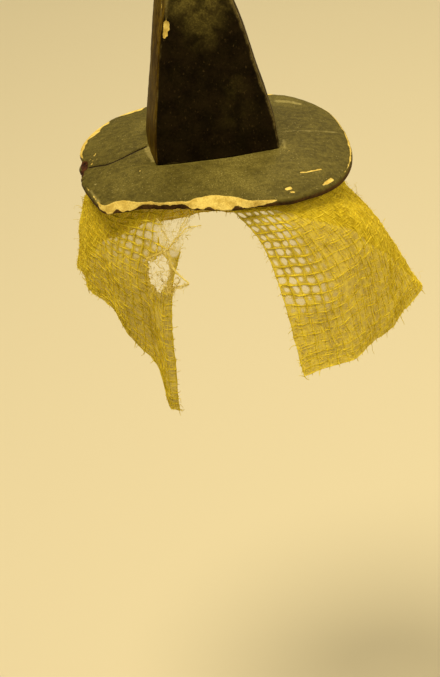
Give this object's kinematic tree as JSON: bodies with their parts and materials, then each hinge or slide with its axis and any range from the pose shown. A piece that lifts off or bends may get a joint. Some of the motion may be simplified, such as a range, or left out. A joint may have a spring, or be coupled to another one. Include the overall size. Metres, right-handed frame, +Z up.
{
  "type": "veiled hat",
  "caption": "Miniature veiled hat: a tall tapering black crown on a wide, drooping, worn brim, with a coarse gauze net veil hanging under the brim, open at the front.",
  "frame": {"origin": "middle of the head opening, in the plane of the brim's flat underside", "axes": "+Z up through the crown, -Y the way the wearer faces, +X to the viewer's right when facing the hat"},
  "size_m": [0.0867, 0.083, 0.1043],
  "materials": {
    "crown": "black paint on clay, worn, low sheen",
    "brim": "dark grey-brown paint on pale clay, dusty, chipped at the rim",
    "veil": "coarse, fuzzy yellow gauze"
  },
  "bodies": {
    "root": {"crown": "crown", "brim": "brim", "veil": "veil"}
  },
  "joints": []
}
